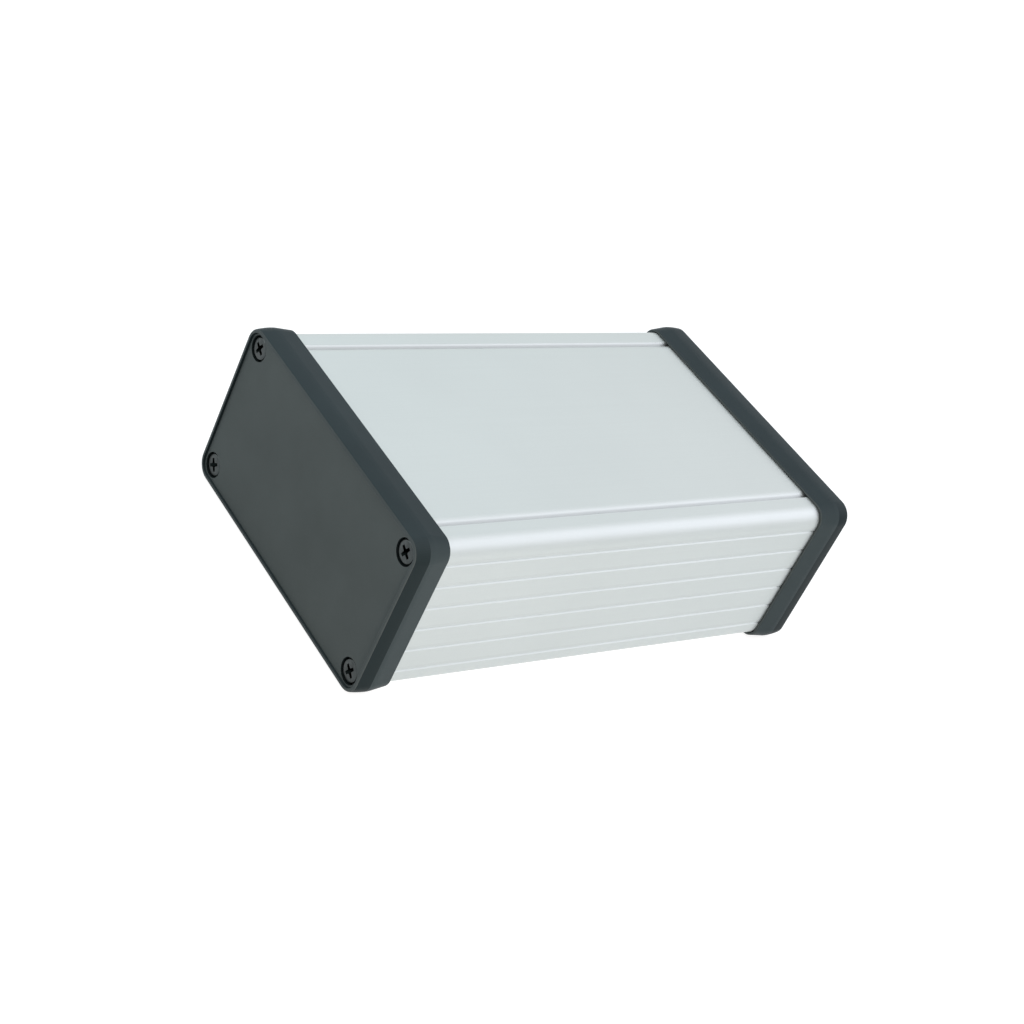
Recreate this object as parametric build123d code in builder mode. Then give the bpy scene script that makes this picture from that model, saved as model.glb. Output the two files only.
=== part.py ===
"""Extruded aluminium enclosure with moulded end bezels, inset end panels and a slide-in base plate.

Frame: +X along the extrusion, +Z up, origin on the ground plane under the middle of the case.
The near end is at -X and the far end at +X. Sizes are in millimetres.
"""

import os
from math import atan, degrees, sqrt

from build123d import *

os.makedirs("parts", exist_ok=True)

# Extruded body
body_length = 120.0
body_width = 75.4
body_height = 40.4
body_corner_radius = 3.6
side_wall = 1.9
top_wall = 1.9

# Grooves along the outside of the body
side_groove_count = 6
side_groove_pitch = 6.0
side_groove_depth = 0.35
strip_width = 6.7
seam_depth = 0.8
seam_wall_run = 0.7
seam_roll_run = 1.9
seam_backing = 0.8

# Slots inside the body that hold circuit boards by their edges
board_thickness = 1.6
board_clearance = 0.3
board_slot_pitch = 7.5
board_rib_thickness = 1.2
board_rib_depth = 2.2

# Base plate, which slides in along the body's lower lips
lip_thickness = 1.1
tongue_thickness = 1.0
tongue_reach = 1.8
slide_clearance = 0.15

# End bezels and end panels
bezel_proud = 1.3
bezel_corner_radius = 4.5
skirt_overlap = 3.8
skirt_draw_in = 0.6
skirt_clearance = 0.1
land_thickness = 1.7
nose_depth = 3.6
nose_inset = 0.4
crease_band = 1.0
rim_width = 0.8
rim_edge_bevel = 0.5
panel_thickness = 3.0
panel_recess = 0.6
panel_clearance = 0.1

# Self-tapping screws and the channels that they run into
screw_inset_side = 3.5
screw_inset_top = 3.3
screw_core_diameter = 2.4
screw_length = 12.0
head_diameter = 5.3
head_height = 1.2
head_edge_bevel = 0.35
head_sink = 0.15
head_gap = 0.4
cross_span = 2.9
cross_width = 0.8
cross_depth = 1.4
cross_foot_span = 1.5
cross_turns = (63, 64, 39, 58)
channel_clearance = 0.05
channel_wall = 1.75
channel_slit = 1.2
clearance_hole_diameter = 3.3

# Sizes that follow from the ones above
half_width = body_width / 2
half_height = body_height / 2
bezel_width = body_width + 2 * bezel_proud
bezel_height = body_height + 2 * bezel_proud
mid_height = bezel_height / 2
pocket_depth = panel_recess + panel_thickness
bezel_front = pocket_depth + land_thickness
bezel_depth = bezel_front + skirt_overlap
skirt_run = bezel_depth - nose_depth - crease_band
overall_length = body_length + 2 * bezel_front
opening_inset = nose_inset + rim_width
opening_width = bezel_width - 2 * opening_inset
opening_height = bezel_height - 2 * opening_inset
opening_corner_radius = bezel_corner_radius - opening_inset
strip_edge = half_width - strip_width
seam_floor = strip_edge - seam_wall_run
seam_roll_start = seam_floor - seam_roll_run
inner_width = body_width - 2 * side_wall
inner_top = half_height - top_wall
lip_top = -half_height + lip_thickness
plate_top = lip_top + tongue_thickness
channel_top = plate_top + slide_clearance
tongue_edge = seam_floor + tongue_reach
channel_radius = screw_core_diameter / 2 + channel_clearance
screw_y = half_width - screw_inset_side
screw_z = half_height - screw_inset_top
boss_radius = channel_radius + channel_wall
boss_edge = screw_y - boss_radius
boss_underside = screw_z - boss_radius
board_slot_height = board_thickness + board_clearance
board_slot_rows = int((boss_underside - board_slot_height / 2) / board_slot_pitch)
head_recess_radius = head_diameter / 2 + head_gap
head_recess_depth = head_sink + head_height


def end_plane(side, depth):
    """Plane across the case, depth in from the outer rim of one end, seen from outside that end."""
    place = side * (overall_length / 2 - depth)
    return Plane(origin=(place, 0, mid_height), x_dir=(0, side, 0), z_dir=(side, 0, 0))


def end_face(part, side):
    """The outermost face of a piece at one end of the case."""
    return part.faces().sort_by(Axis.X)[-1 if side > 0 else 0]


def finish(builder, label):
    """Labels a finished piece and writes its file."""
    builder.part.label = label
    export_step(builder.part, f"parts/{label}.step")


def section_plane(x):
    """Plane across the case at x, with its own x along +Y and its own y along +Z."""
    return Plane(origin=(x, 0, mid_height), x_dir=(0, 1, 0), z_dir=(1, 0, 0))


# Extruded body: an open section whose floor is closed by the base plate
with BuildPart() as enclosure_body:
    with BuildSketch(section_plane(-body_length / 2)):
        RectangleRounded(body_width, body_height, body_corner_radius)
        cavity_height = inner_top - channel_top
        with Locations((0, (inner_top + channel_top) / 2)):
            Rectangle(inner_width, cavity_height, mode=Mode.SUBTRACT)
        for across in (-1, 1):
            for level, boss_end in ((-1, channel_top), (1, inner_top)):
                with Locations((across * screw_y, level * screw_z)):
                    Circle(boss_radius)
                web_width = inner_width / 2 - boss_edge
                web_height = abs(boss_end) - screw_z
                with Locations((across * (boss_edge + web_width / 2), boss_end - level * web_height / 2)):
                    Rectangle(web_width, web_height)
                root_width = inner_width / 2 - screw_y
                root_height = abs(boss_end) - boss_underside
                with Locations((across * (screw_y + root_width / 2), boss_end - level * root_height / 2)):
                    Rectangle(root_width, root_height)
            backing_width = boss_edge - seam_roll_start
            with Locations((across * (boss_edge - backing_width / 2), inner_top - seam_backing / 2)):
                Rectangle(backing_width, seam_backing)
            rib_middle = across * (inner_width - board_rib_depth) / 2
            for row in range(-board_slot_rows, board_slot_rows + 1):
                for face in (-1, 1):
                    face_step = face * (board_slot_height + board_rib_thickness) / 2
                    with Locations((rib_middle, row * board_slot_pitch + face_step)):
                        Rectangle(board_rib_depth, board_rib_thickness)
            groove_side = side_groove_depth * sqrt(2)
            with Locations((across * half_width, 0)):
                with GridLocations(0, side_groove_pitch, 1, side_groove_count):
                    Rectangle(groove_side, groove_side, rotation=45, mode=Mode.SUBTRACT)
            with BuildLine():
                Polyline(
                    (across * seam_floor, half_height - seam_depth),
                    (across * strip_edge, half_height),
                    (across * strip_edge, half_height + seam_depth),
                    (across * seam_roll_start, half_height + seam_depth),
                    (across * seam_roll_start, half_height),
                )
                TangentArc(
                    (across * seam_roll_start, half_height),
                    (across * seam_floor, half_height - seam_depth),
                    tangent=(across, 0),
                )
            make_face(mode=Mode.SUBTRACT)
            for level in (-1, 1):
                with Locations((across * screw_y, level * screw_z)):
                    Circle(channel_radius, mode=Mode.SUBTRACT)
                    Rectangle(
                        boss_radius + channel_wall,
                        channel_slit,
                        rotation=45 * across * level,
                        align=(Align.MAX if across > 0 else Align.MIN, Align.CENTER),
                        mode=Mode.SUBTRACT,
                    )
        with BuildLine():
            Polyline(
                (-strip_edge, -half_height),
                (-seam_floor, -half_height + seam_depth),
                (-seam_floor, lip_top),
                (-tongue_edge - slide_clearance, lip_top),
                (-tongue_edge - slide_clearance, channel_top),
                (tongue_edge + slide_clearance, channel_top),
                (tongue_edge + slide_clearance, lip_top),
                (seam_floor, lip_top),
                (seam_floor, -half_height + seam_depth),
                (strip_edge, -half_height),
                (strip_edge, -half_height - seam_depth),
                (-strip_edge, -half_height - seam_depth),
                close=True,
            )
        make_face(mode=Mode.SUBTRACT)
    extrude(amount=body_length)
finish(enclosure_body, "enclosure_body")

# Base plate: its tongues run in the body's lips, and its rolled edges repeat the grooves of the top
plate_edge = seam_floor - slide_clearance
with BuildPart() as base_plate:
    with BuildSketch(section_plane(-body_length / 2)):
        with BuildLine():
            Line((-seam_roll_start, -half_height), (seam_roll_start, -half_height))
            TangentArc(
                (seam_roll_start, -half_height),
                (plate_edge, -half_height + seam_depth),
                tangent=(1, 0),
            )
            Polyline(
                (plate_edge, -half_height + seam_depth),
                (plate_edge, lip_top),
                (tongue_edge, lip_top),
                (tongue_edge, plate_top),
                (-tongue_edge, plate_top),
                (-tongue_edge, lip_top),
                (-plate_edge, lip_top),
                (-plate_edge, -half_height + seam_depth),
            )
            TangentArc(
                (-seam_roll_start, -half_height),
                (-plate_edge, -half_height + seam_depth),
                tangent=(-1, 0),
            )
        make_face()
    extrude(amount=body_length)
finish(base_plate, "base_plate")


def build_bezel(side, label):
    """Moulded frame that caps one end, widest in a band behind its nose, with its skirt drawn in."""
    with BuildPart() as bezel:
        with BuildSketch(end_plane(side, nose_depth)):
            RectangleRounded(bezel_width, bezel_height, bezel_corner_radius)
        extrude(amount=-crease_band)
        with BuildSketch(end_plane(side, nose_depth + crease_band)):
            RectangleRounded(bezel_width, bezel_height, bezel_corner_radius)
        extrude(amount=-skirt_run, taper=degrees(atan(skirt_draw_in / skirt_run)))
        with BuildSketch(end_plane(side, nose_depth)):
            RectangleRounded(bezel_width, bezel_height, bezel_corner_radius)
        extrude(amount=nose_depth, taper=degrees(atan(nose_inset / nose_depth)))
        chamfer(end_face(bezel, side).edges(), rim_edge_bevel)
        with BuildSketch(end_plane(side, 0)):
            RectangleRounded(opening_width, opening_height, opening_corner_radius)
        extrude(amount=-pocket_depth, mode=Mode.SUBTRACT)
        with BuildSketch(end_plane(side, bezel_depth)):
            RectangleRounded(
                body_width + 2 * skirt_clearance,
                body_height + 2 * skirt_clearance,
                body_corner_radius + skirt_clearance,
            )
        extrude(amount=skirt_overlap, mode=Mode.SUBTRACT)
        with BuildSketch(end_plane(side, pocket_depth)):
            Rectangle(inner_width, 2 * inner_top)
        extrude(amount=-land_thickness, mode=Mode.SUBTRACT)
    finish(bezel, label)


def build_end_panel(side, label):
    """Flat panel set into a bezel's pocket, with a counterbored hole at each corner."""
    with BuildPart() as panel:
        with BuildSketch(end_plane(side, pocket_depth)):
            RectangleRounded(
                opening_width - 2 * panel_clearance,
                opening_height - 2 * panel_clearance,
                opening_corner_radius - panel_clearance,
            )
        extrude(amount=panel_thickness)
        with Locations(end_plane(side, panel_recess)):
            with GridLocations(2 * screw_y, 2 * screw_z, 2, 2):
                CounterBoreHole(
                    clearance_hole_diameter / 2,
                    head_recess_radius,
                    head_recess_depth,
                    depth=panel_thickness,
                )
    finish(panel, label)


def screw_section(side, across, level, turn):
    """Plane along a screw's axis, its own y pointing out of the head, turned about that axis."""
    seat = end_plane(side, panel_recess + head_recess_depth)
    middle = seat.from_local_coords((across * screw_y, level * screw_z, 0))
    radial = seat.x_dir.rotate(Axis((0, 0, 0), seat.z_dir), turn)
    return Plane(origin=middle, x_dir=radial, z_dir=radial.cross(seat.z_dir))


def build_screw(side, across, level, turn, label):
    """Self-tapping screw, its thread left at the core diameter and its cross turned by turn degrees."""
    with BuildPart() as screw:
        profile = screw_section(side, across, level, turn)
        with BuildSketch(profile):
            with BuildLine():
                Polyline(
                    (0, head_height),
                    (head_diameter / 2 - head_edge_bevel, head_height),
                    (head_diameter / 2, head_height - head_edge_bevel),
                    (head_diameter / 2, 0),
                    (screw_core_diameter / 2, 0),
                    (screw_core_diameter / 2, -screw_length),
                    (0, -screw_length),
                    close=True,
                )
            make_face()
        revolve(axis=Axis(profile.origin, profile.y_dir))
        for quarter in (0, 90):
            with BuildSketch(screw_section(side, across, level, turn + quarter)):
                with BuildLine():
                    Polyline(
                        (-cross_span / 2, head_height),
                        (cross_span / 2, head_height),
                        (cross_foot_span / 2, head_height - cross_depth),
                        (-cross_foot_span / 2, head_height - cross_depth),
                        close=True,
                    )
                make_face()
            extrude(amount=cross_width / 2, both=True, mode=Mode.SUBTRACT)
    finish(screw, label)


for side, end in ((-1, "near"), (1, "far")):
    build_bezel(side, f"{end}_bezel")
    build_end_panel(side, f"{end}_end_panel")
    corners = ((-1, 1, "upper_left"), (1, 1, "upper_right"), (-1, -1, "lower_left"), (1, -1, "lower_right"))
    for (across, level, corner), turn in zip(corners, cross_turns):
        build_screw(side, across, level, turn, f"{end}_screw_{corner}")
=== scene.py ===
"""Dresses the extruded aluminium enclosure: blasted anodised aluminium, moulded dark ends, blackened screws.

Everything is in metres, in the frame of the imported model: +X along the extrusion, +Z up, near end at -X.
"""

from math import cos, pi, radians, sin

import bmesh
import bpy
from mathutils import Matrix, Quaternion, Vector


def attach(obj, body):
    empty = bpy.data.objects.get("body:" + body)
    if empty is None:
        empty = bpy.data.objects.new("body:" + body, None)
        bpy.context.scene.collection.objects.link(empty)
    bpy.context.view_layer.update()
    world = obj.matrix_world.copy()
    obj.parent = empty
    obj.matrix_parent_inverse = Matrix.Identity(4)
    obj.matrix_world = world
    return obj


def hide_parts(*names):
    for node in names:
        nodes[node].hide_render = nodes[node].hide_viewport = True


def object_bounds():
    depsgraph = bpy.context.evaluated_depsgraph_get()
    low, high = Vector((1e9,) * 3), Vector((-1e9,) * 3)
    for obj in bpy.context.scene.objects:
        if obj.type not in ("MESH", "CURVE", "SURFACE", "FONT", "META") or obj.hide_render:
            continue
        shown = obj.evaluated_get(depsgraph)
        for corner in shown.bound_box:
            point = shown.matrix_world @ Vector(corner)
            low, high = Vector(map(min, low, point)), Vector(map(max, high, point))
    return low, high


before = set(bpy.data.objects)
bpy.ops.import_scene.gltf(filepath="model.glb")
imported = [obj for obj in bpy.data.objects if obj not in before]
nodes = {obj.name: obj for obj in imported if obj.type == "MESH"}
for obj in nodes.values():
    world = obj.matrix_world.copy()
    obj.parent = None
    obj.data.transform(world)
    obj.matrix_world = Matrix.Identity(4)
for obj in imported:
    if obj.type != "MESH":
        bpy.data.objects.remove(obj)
cad_low, cad_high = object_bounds()
MM = 0.001
bpy.context.scene.view_settings.view_transform = "Standard"

# Camera, set where it sees the case as the photograph does
camera_place = Vector((-304.9, -269.4, 271.1)) * MM
camera_aim = Vector((-3.0, 11.26, 30.9)) * MM
camera_roll = radians(25.97)
camera_lens = 70.43
camera_sensor = 36.0
camera_shift_y = -0.08

# Studio
floor_radius = 2.5
floor_segments = 96
floor_paint = (0.8, 0.8, 0.8)
seen_floor_paint = (0.4, 0.4, 0.4)
seen_floor_glow = 0.83
sky_level = 0.50
sky_tint = (0.86, 0.96, 1.0)
# Each softbox: name, place from the case's middle, size, radiance, colour, shown in reflections
softboxes = [
    ("top_softbox", (0.41, -0.21, 0.48), 0.70, 0.85, (1.0, 0.98, 1.14), True),
    ("back_softbox", (0.21, 0.54, 0.58), 0.60, 0.28, (0.35, 0.80, 1.0), True),
    ("left_softbox", (-0.25, 0.22, 0.15), 0.25, 2.2, (1.0, 1.0, 0.98), True),
    ("side_softbox", (-0.075, -0.25, 0.06), 0.16, 6.0, (1.0, 0.86, 0.76), False),
]

# Bezel, with the solids' sizes, in millimetres
rim_x = cad_high.x / MM
mid_z = (cad_low.z + cad_high.z) / 2 / MM
bezel_half_width = 39.0
bezel_half_height = 21.5
bezel_corner_radius = 4.5
crease_depth = 3.6
nose_inset = 0.4
nose_flare = 0.35
pocket_depth = 3.6
land_back = 5.3
band_depth = 4.6
skirt_draw_in = 0.6
bezel_depth = 9.1
opening_inset = 1.2
land_inset = 3.2
skirt_inset = 1.2
rim_edge_cut = 0.4
band_cut = 0.4
skirt_edge_cut = 0.15
skirt_inner_cut = 0.1
pocket_edge_cut = 0.12
land_edge_cut = 0.1
corner_steps = 14
nose_steps = 8
sharp_angle = radians(40)

# Extrusion's grooves: two seams along the top and six grooves down each side
body_top = 41.7
body_half_width = 37.7
body_skin = 0.02
seam_middle = 30.3
seam_half_width = 0.75
# Spans of the painted shade in the seams and above the side grooves, and of the painted highlight within the
# side grooves
seam_shade_start = 0.2
seam_shade_run = 0.25
seam_shade_end = 1.0
groove_start = 6.5
groove_pitch = 6.0
groove_middle_depth = 0.22
groove_half_depth = 0.2
groove_band_half_height = 16.4
shade_line_rise = 0.85
shade_line_half_height = 0.27
die_line_spacing = 0.5
die_line_depth = 0.035
die_line_relief = 0.6

# Screws
screw_y = 34.2
screw_z = 16.9
seat_depth = 1.95
head_height = 1.2
head_profile = [(1.3, 1.19), (2.0, 1.17), (2.4, 1.12), (2.57, 1.03), (2.65, 0.88), (2.65, 0.06), (2.6, 0.0)]
neck_radius = 1.25
shank_length = 12.0
thread_crest = 1.24
thread_root = 0.96
thread_pitch = 1.0
thread_sharpness = 1.6
thread_start = 0.4
thread_fade_in = 0.5
thread_fade_out = 1.5
tip_share = 0.6
rings_per_turn = 6
screw_segments = 32

# Cross in the screw head, as level, reach, half width and web at its mouth and its foot
cross_mouth = (head_height + 0.3, 1.78, 0.46, 0.16)
cross_foot = (-0.1, 0.8, 0.34, 0.1)
cross_tip_share = 0.85
# Level round which the screw gets painted shade, within this half height, and each screw's turn in degrees
cross_dark_middle = 0.2
cross_dark_half_height = 0.4
cross_turns = {"upper_left": 63, "upper_right": 64, "lower_left": 39, "lower_right": 58}

# Finishes
aluminium_color = (0.588, 0.624, 0.617)
aluminium_roughness = 0.55
# The bezel's colours are painted shade and light over the same charcoal as the panel: darker on its top and
# sides, lighter on its rim, darkest on its nose's side walls
bezel_color = (0.036, 0.049, 0.053)
bezel_rim_painted_light_color = (0.062, 0.074, 0.076)
bezel_nose_painted_shade_color = (0.012, 0.019, 0.021)
panel_color = (0.070, 0.082, 0.082)
# The panel's wall colour is painted shade down the walls of its screw recesses and holes
panel_wall_painted_shade_color = (0.011, 0.016, 0.017)
screw_color = (0.053, 0.061, 0.062)
screw_painted_shade_color = (0.007, 0.010, 0.010)
screw_roughness = 0.36
wall_limit = 0.6
screw_wall_limit = 0.75
# How much more of the nose's painted shade falls on its sideways faces than on its top and bottom
sideways_power = 1.4
plastic_gloss = 0.05


def add_camera():
    """Camera at the photograph's place, turned by its roll."""
    data = bpy.data.cameras.new("photo_camera")
    data.sensor_width = camera_sensor
    data.lens = camera_lens
    data.shift_y = camera_shift_y
    data.clip_start = 0.01
    camera = bpy.data.objects.new("photo_camera", data)
    bpy.context.scene.collection.objects.link(camera)
    camera.location = camera_place
    camera.rotation_mode = "QUATERNION"
    level = (camera_aim - camera_place).to_track_quat("-Z", "Y")
    camera.rotation_quaternion = level @ Quaternion((0, 0, 1), camera_roll)
    bpy.context.scene.camera = camera


def add_softbox(name, place, size, radiance, color, mirrored):
    """Square lamp that faces the middle of the case and shines at the given radiance."""
    data = bpy.data.lights.new(name, "AREA")
    data.shape = "SQUARE"
    data.size = size
    data.color = color
    data.energy = radiance * pi * size * size
    lamp = bpy.data.objects.new(name, data)
    bpy.context.scene.collection.objects.link(lamp)
    middle = (cad_low + cad_high) / 2
    lamp.location = middle + Vector(place)
    lamp.rotation_mode = "QUATERNION"
    lamp.rotation_quaternion = (-Vector(place)).to_track_quat("-Z", "Y")
    lamp.visible_camera = False
    lamp.visible_glossy = mirrored


def add_node(tree, kind, settings=(), **inputs):
    """Adds a node, sets its properties, and feeds its inputs with values or other nodes' sockets."""
    node = tree.nodes.new(kind)
    for key, value in dict(settings).items():
        setattr(node, key, value)
    for key, value in inputs.items():
        name = key.replace("_", " ")
        socket = node.inputs[int(name[1:])] if name[0] == "i" and name[1:].isdigit() else node.inputs[name]
        if isinstance(value, bpy.types.NodeSocket):
            tree.links.new(value, socket)
        else:
            socket.default_value = value
    return node


def math_value(tree, operation, first, second=0.0, clamp=False):
    """Result of one sum on two values or sockets."""
    settings = {"operation": operation, "use_clamp": clamp}
    return add_node(tree, "ShaderNodeMath", settings, i0=first, i1=second).outputs[0]


def seen_directly(tree):
    """One for the rays that show the background: from the camera, off metal and gloss, and through glass."""
    rays = add_node(tree, "ShaderNodeLightPath").outputs
    mirrored = math_value(tree, "ADD", rays["Is Camera Ray"], rays["Is Glossy Ray"])
    return math_value(tree, "ADD", mirrored, rays["Is Transmission Ray"], clamp=True)


def add_world():
    """White wherever the background shows, and a plain soft light on everything else."""
    world = bpy.data.worlds.new("studio")
    bpy.context.scene.world = world
    world.use_nodes = True
    world.cycles.sampling_method = "NONE"
    tree = world.node_tree
    tree.nodes.clear()
    sky = add_node(tree, "ShaderNodeBackground", Color=(*sky_tint, 1), Strength=sky_level)
    white = add_node(tree, "ShaderNodeBackground", Color=(1, 1, 1, 1), Strength=1.0)
    chosen = add_node(
        tree, "ShaderNodeMixShader", i0=seen_directly(tree), i1=sky.outputs[0], i2=white.outputs[0]
    )
    add_node(tree, "ShaderNodeOutputWorld", Surface=chosen.outputs[0])


def add_floor():
    """Pale floor that shows as white and keeps a faint shadow where the case meets it."""
    mesh = bpy.data.meshes.new("floor")
    ring = []
    for index in range(floor_segments):
        angle = 2 * pi * index / floor_segments
        ring.append((floor_radius * cos(angle), floor_radius * sin(angle), 0.0))
    mesh.from_pydata(ring, [], [list(range(floor_segments))])
    floor = bpy.data.objects.new("floor", mesh)
    bpy.context.scene.collection.objects.link(floor)
    material = bpy.data.materials.new("pale_floor")
    material.use_nodes = True
    tree = material.node_tree
    tree.nodes.clear()
    paint = add_node(tree, "ShaderNodeBsdfDiffuse", Color=(*floor_paint, 1))
    seen_paint = add_node(tree, "ShaderNodeBsdfDiffuse", Color=(*seen_floor_paint, 1))
    glow = add_node(tree, "ShaderNodeEmission", Strength=seen_floor_glow)
    seen = add_node(tree, "ShaderNodeAddShader", i0=seen_paint.outputs[0], i1=glow.outputs[0])
    chosen = add_node(
        tree, "ShaderNodeMixShader", i0=seen_directly(tree), i1=paint.outputs[0], i2=seen.outputs[0]
    )
    add_node(tree, "ShaderNodeOutputMaterial", Surface=chosen.outputs[0])
    mesh.materials.append(material)


def new_group(name, inputs, outputs):
    """Empty shader node group, with its input sockets' outputs and its output sockets' inputs."""
    group = bpy.data.node_groups.new(name, "ShaderNodeTree")
    for label, kind, value in inputs:
        socket = group.interface.new_socket(label, in_out="INPUT", socket_type=f"NodeSocket{kind}")
        socket.default_value = value
    for label, kind in outputs:
        group.interface.new_socket(label, in_out="OUTPUT", socket_type=f"NodeSocket{kind}")
    return group, group.nodes.new("NodeGroupInput").outputs, group.nodes.new("NodeGroupOutput").inputs


def make_grain_group():
    """Even fine grain of a given size in millimetres: its height, and a tone that varies round one."""
    group, given, out = new_group(
        "fine_grain",
        [("Size", "Float", 0.2), ("Contrast", "Float", 0.1)],
        [("Height", "Float"), ("Tone", "Float")],
    )
    place = add_node(group, "ShaderNodeTexCoord").outputs["Object"]
    density = math_value(group, "DIVIDE", 1 / MM, given["Size"])
    noise = add_node(
        group, "ShaderNodeTexNoise", Vector=place, Scale=density, Detail=2.0, Roughness=0.55
    ).outputs["Fac"]
    group.links.new(noise, out["Height"])
    spread = math_value(group, "MULTIPLY", math_value(group, "SUBTRACT", noise, 0.5), given["Contrast"])
    group.links.new(math_value(group, "ADD", spread, 1.0), out["Tone"])
    return group


def make_tone_group():
    """Slow change of a colour's depth across a surface, over patches of a given size in millimetres."""
    group, given, out = new_group(
        "slow_tone",
        [("Color", "Color", (0.5, 0.5, 0.5, 1)), ("Spread", "Float", 0.1), ("Size", "Float", 20.0)],
        [("Color", "Color")],
    )
    place = add_node(group, "ShaderNodeTexCoord").outputs["Object"]
    density = math_value(group, "DIVIDE", 1 / MM, given["Size"])
    noise = add_node(
        group, "ShaderNodeTexNoise", Vector=place, Scale=density, Detail=3.0, Roughness=0.5
    ).outputs["Fac"]
    spread = math_value(group, "MULTIPLY", math_value(group, "SUBTRACT", noise, 0.5), given["Spread"])
    depth = math_value(group, "ADD", spread, 1.0)
    shaded = add_node(group, "ShaderNodeVectorMath", {"operation": "SCALE"}, i0=given["Color"], Scale=depth)
    group.links.new(shaded.outputs[0], out["Color"])
    return group


def place_group(tree, group, **inputs):
    """One use of a node group in a material, with its own values."""
    return add_node(tree, "ShaderNodeGroup", {"node_tree": group}, **inputs).outputs


def new_material(name):
    """New material, its node tree and its Principled shader, which is still as it comes."""
    material = bpy.data.materials.new(name)
    material.use_nodes = True
    return material, material.node_tree, material.node_tree.nodes["Principled BSDF"]


def make_groove_group():
    """How bright the metal is at its grooves, as the photograph shows it.

    It is painted darker in the seams and just above the side grooves, a painted shade, and a little brighter
    within those, a painted highlight.
    """
    group, given, out = new_group(
        "groove_painted_shade",
        [("Seam", "Float", 0.76), ("Line", "Float", 0.96), ("Sunk", "Float", 1.08)],
        [("Light", "Float")],
    )
    place = add_node(group, "ShaderNodeTexCoord").outputs["Object"]
    axes = add_node(group, "ShaderNodeSeparateXYZ", Vector=place).outputs
    across = math_value(group, "ABSOLUTE", axes["Y"])
    down = math_value(group, "SUBTRACT", body_top * MM, axes["Z"])
    below = math_value(group, "SUBTRACT", down, seam_shade_start * MM)
    deep = math_value(group, "DIVIDE", below, seam_shade_run * MM, clamp=True)
    shallow = math_value(group, "LESS_THAN", down, seam_shade_end * MM)
    within = math_value(group, "COMPARE", across, seam_middle * MM)
    within.node.inputs[2].default_value = seam_half_width * MM
    seam = math_value(group, "MULTIPLY", math_value(group, "MULTIPLY", deep, shallow), within)
    above = math_value(group, "SUBTRACT", axes["Z"], (groove_start + shade_line_rise) * MM)
    turn = math_value(group, "WRAP", above, 0.5 * groove_pitch * MM)
    turn.node.inputs[2].default_value = -0.5 * groove_pitch * MM
    near = math_value(group, "LESS_THAN", math_value(group, "ABSOLUTE", turn), shade_line_half_height * MM)
    outside = math_value(group, "GREATER_THAN", across, (body_half_width - body_skin) * MM)
    line = math_value(group, "MULTIPLY", near, outside)
    sunk = math_value(group, "COMPARE", across, (body_half_width - groove_middle_depth) * MM)
    sunk.node.inputs[2].default_value = groove_half_depth * MM
    beside = math_value(group, "COMPARE", axes["Z"], mid_z * MM)
    beside.node.inputs[2].default_value = groove_band_half_height * MM
    groove = math_value(group, "MULTIPLY", sunk, beside)
    light = 1.0
    for mask, level in ((seam, given["Seam"]), (line, given["Line"]), (groove, given["Sunk"])):
        loss = math_value(group, "MULTIPLY", mask, math_value(group, "SUBTRACT", 1.0, level))
        light = math_value(group, "MULTIPLY", light, math_value(group, "SUBTRACT", 1.0, loss))
    group.links.new(light, out["Light"])
    return group


def make_aluminium(groups):
    """Blasted and clear anodised aluminium, with the die's faint lines along the extrusion."""
    material, tree, shader = new_material("anodised_aluminium")
    grain = place_group(tree, groups["grain"], Size=0.16, Contrast=0.30)
    tone = place_group(tree, groups["tone"], Color=(*aluminium_color, 1), Spread=0.06, Size=38.0)
    place = add_node(tree, "ShaderNodeTexCoord").outputs["Object"]
    drawn = add_node(tree, "ShaderNodeVectorMath", {"operation": "MULTIPLY"}, i0=place, i1=(0.01, 1, 1))
    density = 1 / (die_line_spacing * MM)
    lines = add_node(
        tree, "ShaderNodeTexNoise", Vector=drawn.outputs[0], Scale=density, Detail=3.0, Roughness=0.7
    ).outputs["Fac"]
    drawn_tone = math_value(tree, "MULTIPLY", lines, die_line_depth)
    line_tone = math_value(tree, "ADD", drawn_tone, 1 - die_line_depth / 2)
    # Painted shade in the seams and above the side grooves, and a painted highlight within the side grooves
    shade = place_group(tree, groups["groove"], Seam=0.76, Line=0.97, Sunk=1.06)["Light"]
    depth = math_value(tree, "MULTIPLY", line_tone, shade)
    color = add_node(tree, "ShaderNodeVectorMath", {"operation": "SCALE"}, i0=tone["Color"], Scale=depth)
    tree.links.new(color.outputs[0], shader.inputs["Base Color"])
    shader.inputs["Metallic"].default_value = 1.0
    roughness = math_value(tree, "MULTIPLY", grain["Tone"], aluminium_roughness)
    tree.links.new(roughness, shader.inputs["Roughness"])
    height = math_value(tree, "ADD", grain["Height"], math_value(tree, "MULTIPLY", lines, die_line_relief))
    bump = add_node(tree, "ShaderNodeBump", Strength=0.35, Distance=0.02 * MM, Height=height)
    tree.links.new(bump.outputs[0], shader.inputs["Normal"])
    return material


def make_wall_group():
    """One on faces that run along the case, such as walls of holes, and how much of it faces sideways."""
    group, given, out = new_group(
        "wall_mask", [("Limit", "Float", wall_limit)], [("Mask", "Float"), ("Sideways", "Float")]
    )
    normal = add_node(group, "ShaderNodeNewGeometry").outputs["True Normal"]
    axes = add_node(group, "ShaderNodeSeparateXYZ", Vector=normal).outputs
    wall = math_value(group, "LESS_THAN", math_value(group, "ABSOLUTE", axes["X"]), given["Limit"])
    group.links.new(wall, out["Mask"])
    sideways = math_value(group, "POWER", math_value(group, "ABSOLUTE", axes["Y"]), sideways_power)
    group.links.new(math_value(group, "MULTIPLY", wall, sideways), out["Sideways"])
    return group


def mixed_color(tree, factor, first, second):
    """Colour between two colours or sockets."""
    mix = add_node(tree, "ShaderNodeMix", {"data_type": "RGBA"}, Factor=factor)
    for index, value in ((6, first), (7, second)):
        if isinstance(value, bpy.types.NodeSocket):
            tree.links.new(value, mix.inputs[index])
        else:
            mix.inputs[index].default_value = (*value, 1)
    return mix.outputs[2]


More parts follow.
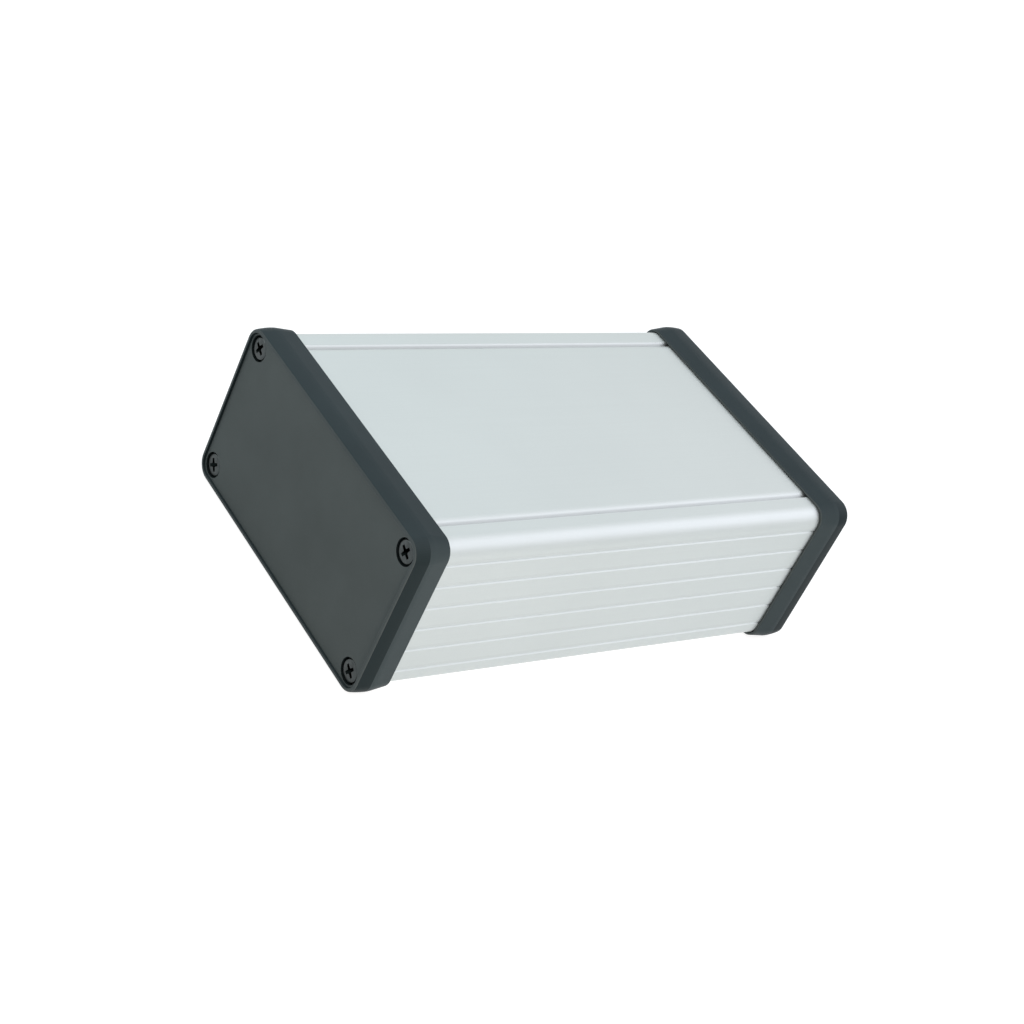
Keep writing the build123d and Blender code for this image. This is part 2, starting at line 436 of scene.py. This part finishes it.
def make_plastic(name, groups, color, end_color, roughness, wall, wall_shade_color, wall_start=0.0):
    """Charcoal moulded plastic with a fine texture.

    Faces towards the ends have end_color, a painted light where it is lighter than color. Walls farther out
    than wall_start are smoother, and darker with painted shade.
    """
    material, tree, shader = new_material(name)
    grain = place_group(tree, groups["grain"], Size=0.30, Contrast=0.35)
    facing = place_group(tree, groups["wall"], Limit=wall_limit)
    # Faces towards the ends take end_color, on the bezel a painted light on its rim
    base = mixed_color(tree, facing["Mask"], end_color, color)
    tone = place_group(tree, groups["tone"], Color=base, Spread=0.30, Size=16.0)
    place = add_node(tree, "ShaderNodeTexCoord").outputs["Object"]
    along = add_node(tree, "ShaderNodeSeparateXYZ", Vector=place).outputs["X"]
    beyond = math_value(tree, "GREATER_THAN", math_value(tree, "ABSOLUTE", along), wall_start * MM)
    # Painted shade on walls beyond wall_start: on the bezel's nose, mostly where it faces sideways
    painted_shade_mask = math_value(tree, "MULTIPLY", beyond, facing[wall])
    tree.links.new(mixed_color(tree, painted_shade_mask, tone["Color"], wall_shade_color), shader.inputs["Base Color"])
    tree.links.new(math_value(tree, "MULTIPLY", grain["Tone"], roughness), shader.inputs["Roughness"])
    shader.inputs["Specular IOR Level"].default_value = plastic_gloss
    texture = math_value(tree, "MULTIPLY", grain["Height"], math_value(tree, "SUBTRACT", 1.0, painted_shade_mask))
    bump = add_node(tree, "ShaderNodeBump", Strength=0.4, Distance=0.03 * MM, Height=texture)
    tree.links.new(bump.outputs[0], shader.inputs["Normal"])
    return material


def make_black_screw(groups):
    """Black oxide on steel, a little uneven, with painted shade down the walls of the head and in its cross.
    """
    material, tree, shader = new_material("black_screw")
    grain = place_group(tree, groups["grain"], Size=0.22, Contrast=0.6)
    tone = place_group(tree, groups["tone"], Color=(*screw_color, 1), Spread=1.0, Size=1.2)
    place = add_node(tree, "ShaderNodeTexCoord").outputs["Object"]
    level = add_node(tree, "ShaderNodeSeparateXYZ", Vector=place).outputs["Z"]
    foot = math_value(tree, "COMPARE", level, cross_dark_middle * MM)
    foot.node.inputs[2].default_value = cross_dark_half_height * MM
    wall = place_group(tree, groups["wall"], Limit=screw_wall_limit)["Mask"]
    # Painted shade on the head's walls and deep in its cross
    deep = math_value(tree, "MAXIMUM", wall, foot)
    tree.links.new(mixed_color(tree, deep, tone["Color"], screw_painted_shade_color), shader.inputs["Base Color"])
    shader.inputs["Metallic"].default_value = 1.0
    tree.links.new(math_value(tree, "MULTIPLY", grain["Tone"], screw_roughness), shader.inputs["Roughness"])
    bump = add_node(tree, "ShaderNodeBump", Strength=0.4, Distance=0.02 * MM, Height=grain["Height"])
    tree.links.new(bump.outputs[0], shader.inputs["Normal"])
    return material


def eased(corners, steps=4):
    """Outline through corners given as (along, across, cut), each eased over its cut length."""
    points = []
    for index, (along, across, cut) in enumerate(corners):
        corner = Vector((along, across))
        if cut == 0:
            points.append(corner)
            continue
        before = Vector(corners[index - 1][:2])
        after = Vector(corners[(index + 1) % len(corners)][:2])
        start = corner + (before - corner).normalized() * cut
        end = corner + (after - corner).normalized() * cut
        for step in range(steps + 1):
            t = step / steps
            points.append(start * (1 - t) ** 2 + corner * 2 * t * (1 - t) + end * t**2)
    return points


def bezel_section():
    """Once round a bezel's section, as depth in from the rim and inset from the widest outline."""
    nose = []
    for step in range(nose_steps):
        t = step / nose_steps
        inset = nose_inset * (nose_flare * t + (1 - nose_flare) * t**2)
        nose.append((crease_depth * (1 - t), inset, 0))
    corners = nose + [
        (0, nose_inset, rim_edge_cut),
        (0, opening_inset, pocket_edge_cut),
        (pocket_depth, opening_inset, 0),
        (pocket_depth, land_inset, land_edge_cut),
        (land_back, land_inset, land_edge_cut),
        (land_back, skirt_inset, 0),
        (bezel_depth, skirt_inset, skirt_inner_cut),
        (bezel_depth, skirt_draw_in, skirt_edge_cut),
        (band_depth, 0, band_cut),
    ]
    return eased(corners)


def bezel_ring(inset):
    """Points of the bezel's rounded outline, drawn in by inset."""
    radius = bezel_corner_radius - inset
    ring = []
    for quarter in range(4):
        turn = quarter * pi / 2
        across = 1 if quarter in (0, 3) else -1
        level = 1 if quarter in (0, 1) else -1
        middle_y = across * (bezel_half_width - inset - radius)
        middle_z = level * (bezel_half_height - inset - radius)
        for step in range(corner_steps + 1):
            angle = turn + pi / 2 * step / corner_steps
            ring.append((middle_y + radius * cos(angle), middle_z + radius * sin(angle)))
    return ring


def add_bezel(side, end, material):
    """Moulded bezel with its curved nose, crease and eased edges, in place of the plainer solid."""
    section = bezel_section()
    shape = bmesh.new()
    rings = []
    for depth, inset in section:
        x = side * (rim_x - depth)
        rings.append([shape.verts.new((x * MM, y * MM, (mid_z + z) * MM)) for y, z in bezel_ring(inset)])
    count = len(rings[0])
    for index, ring in enumerate(rings):
        following = rings[(index + 1) % len(rings)]
        for step in range(count):
            after = (step + 1) % count
            shape.faces.new((ring[step], ring[after], following[after], following[step]))
    bmesh.ops.recalc_face_normals(shape, faces=shape.faces)
    crease = set(rings[0])
    for edge in shape.edges:
        if edge.verts[0] in crease and edge.verts[1] in crease:
            edge.smooth = False
    bezel = add_piece(f"{end}_bezel_moulding", shape, material)
    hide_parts(f"{end}_bezel")
    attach(bezel, "root")


def add_piece(name, shape, material):
    """Object from a finished shape, shaded smooth between its sharp edges."""
    mesh = bpy.data.meshes.new(name)
    for face in shape.faces:
        face.smooth = True
    for edge in shape.edges:
        if len(edge.link_faces) == 2 and edge.calc_face_angle() > sharp_angle:
            edge.smooth = False
    shape.to_mesh(mesh)
    shape.free()
    mesh.materials.append(material)
    piece = bpy.data.objects.new(name, mesh)
    bpy.context.scene.collection.objects.link(piece)
    weighting = piece.modifiers.new("even_shading", "WEIGHTED_NORMAL")
    weighting.keep_sharp = True
    return piece


def thread_radius(level, angle):
    """Radius of the threaded shank at a level below the head, at an angle round it."""
    along = (-level / thread_pitch + angle / (2 * pi)) % 1.0
    ridge = max(0.0, 1 - abs(2 * along - 1) * thread_sharpness)
    fade_in = max(0.0, (-level - thread_start) / thread_fade_in)
    fade_out = max(0.0, (shank_length + level) / thread_fade_out)
    return thread_root + (thread_crest - thread_root) * ridge * min(1.0, fade_in, fade_out)


def screw_blank():
    """Pan head and threaded shank, built up in rings about +Z with the head's seat at zero."""
    shape = bmesh.new()
    angles = [2 * pi * step / screw_segments for step in range(screw_segments)]
    rings = [[(radius, level)] * screw_segments for radius, level in head_profile]
    rings.append([(neck_radius, 0.0)] * screw_segments)
    steps = int(shank_length / thread_pitch * rings_per_turn)
    for step in range(1, steps + 1):
        level = -shank_length * step / steps
        rings.append([(thread_radius(level, angle), level) for angle in angles])
    rings.append([(thread_root * tip_share, -shank_length)] * screw_segments)
    placed = []
    for ring in rings:
        placed.append([
            shape.verts.new((radius * cos(angle), radius * sin(angle), level))
            for (radius, level), angle in zip(ring, angles)
        ])
    for ring, following in zip(placed, placed[1:]):
        for step in range(screw_segments):
            after = (step + 1) % screw_segments
            shape.faces.new((ring[step], ring[after], following[after], following[step]))
    for ring, level in ((placed[0], head_height), (placed[-1], -shank_length)):
        tip = shape.verts.new((0, 0, level))
        for step in range(screw_segments):
            shape.faces.new((ring[step], ring[(step + 1) % screw_segments], tip))
    bmesh.ops.recalc_face_normals(shape, faces=shape.faces)
    return shape


def cross_cutter():
    """Tapered cross that sinks the driver's recess into a screw head."""
    shape = bmesh.new()
    rings = []
    for level, reach, half_width, web in (cross_mouth, cross_foot):
        ring = []
        for quarter in range(4):
            turn = Matrix.Rotation(quarter * pi / 2, 2)
            for point in (
                (half_width + web, half_width),
                (reach, half_width * cross_tip_share),
                (reach, -half_width * cross_tip_share),
                (half_width + web, -half_width),
            )[::-1]:
                place = turn @ Vector(point)
                ring.append(shape.verts.new((place.x, place.y, level)))
        rings.append(ring)
    count = len(rings[0])
    for step in range(count):
        after = (step + 1) % count
        shape.faces.new((rings[0][step], rings[0][after], rings[1][after], rings[1][step]))
    shape.faces.new(rings[0])
    shape.faces.new(rings[1])
    bmesh.ops.recalc_face_normals(shape, faces=shape.faces)
    return shape


def make_screw_mesh(material):
    """Mesh of one screw, its cross cut out of the head, that all eight share."""
    carved = []
    for name, shape in (("screw_blank", screw_blank()), ("cross_cutter", cross_cutter())):
        mesh = bpy.data.meshes.new(name)
        shape.to_mesh(mesh)
        shape.free()
        helper = bpy.data.objects.new(name, mesh)
        bpy.context.scene.collection.objects.link(helper)
        carved.append(helper)
    blank, cutter = carved
    cut = blank.modifiers.new("cross_recess", "BOOLEAN")
    cut.operation = "DIFFERENCE"
    cut.solver = "EXACT"
    cut.object = cutter
    bpy.context.view_layer.update()
    mesh = bpy.data.meshes.new_from_object(blank.evaluated_get(bpy.context.evaluated_depsgraph_get()))
    for helper in carved:
        bpy.data.objects.remove(helper)
    mesh.name = "screw"
    mesh.transform(Matrix.Scale(MM, 4))
    mesh.materials.clear()
    mesh.materials.append(material)
    mesh.shade_smooth()
    mesh.set_sharp_from_angle(angle=sharp_angle)
    return mesh


def add_screws(material):
    """Eight screws: the near ones turned as the photograph shows them, and the far ones alike."""
    mesh = make_screw_mesh(material)
    for side, end in ((-1, "near"), (1, "far")):
        for corner, turn in cross_turns.items():
            across = -1 if corner.endswith("left") else 1
            level = 1 if corner.startswith("upper") else -1
            outward = Vector((side, 0, 0))
            level_axis = Vector((0, 0, 1))
            across_axis = Vector((0, side, 0))
            arm = across_axis * cos(radians(turn)) + level_axis * sin(radians(turn))
            x = side * (rim_x - seat_depth)
            place = Vector((x, side * across * screw_y, mid_z + level * screw_z)) * MM
            screw = bpy.data.objects.new(f"{end}_screw_{corner}_threaded", mesh)
            bpy.context.scene.collection.objects.link(screw)
            turned = Matrix((arm, outward.cross(arm), outward)).transposed().to_4x4()
            screw.matrix_world = Matrix.Translation(place) @ turned
            weighting = screw.modifiers.new("even_shading", "WEIGHTED_NORMAL")
            weighting.keep_sharp = True
            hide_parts(f"{end}_screw_{corner}")
            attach(screw, "root")


add_camera()
add_world()
add_floor()
for softbox in softboxes:
    add_softbox(*softbox)

groups = {
    "grain": make_grain_group(),
    "tone": make_tone_group(),
    "wall": make_wall_group(),
    "groove": make_groove_group(),
}
aluminium = make_aluminium(groups)
bezel_plastic = make_plastic(
    "bezel_plastic",
    groups,
    color=bezel_color,
    end_color=bezel_rim_painted_light_color,
    roughness=0.42,
    wall="Sideways",
    wall_shade_color=bezel_nose_painted_shade_color,
    wall_start=rim_x - crease_depth,
)
panel_plastic = make_plastic(
    "panel_plastic",
    groups,
    color=panel_color,
    end_color=panel_color,
    roughness=0.48,
    wall="Mask",
    wall_shade_color=panel_wall_painted_shade_color,
)
screw_black = make_black_screw(groups)

finishes = {
    "enclosure_body": aluminium,
    "base_plate": aluminium,
    "near_end_panel": panel_plastic,
    "far_end_panel": panel_plastic,
}
for name, material in finishes.items():
    nodes[name].data.materials.clear()
    nodes[name].data.materials.append(material)

for side, end in ((-1, "near"), (1, "far")):
    add_bezel(side, end, bezel_plastic)
add_screws(screw_black)
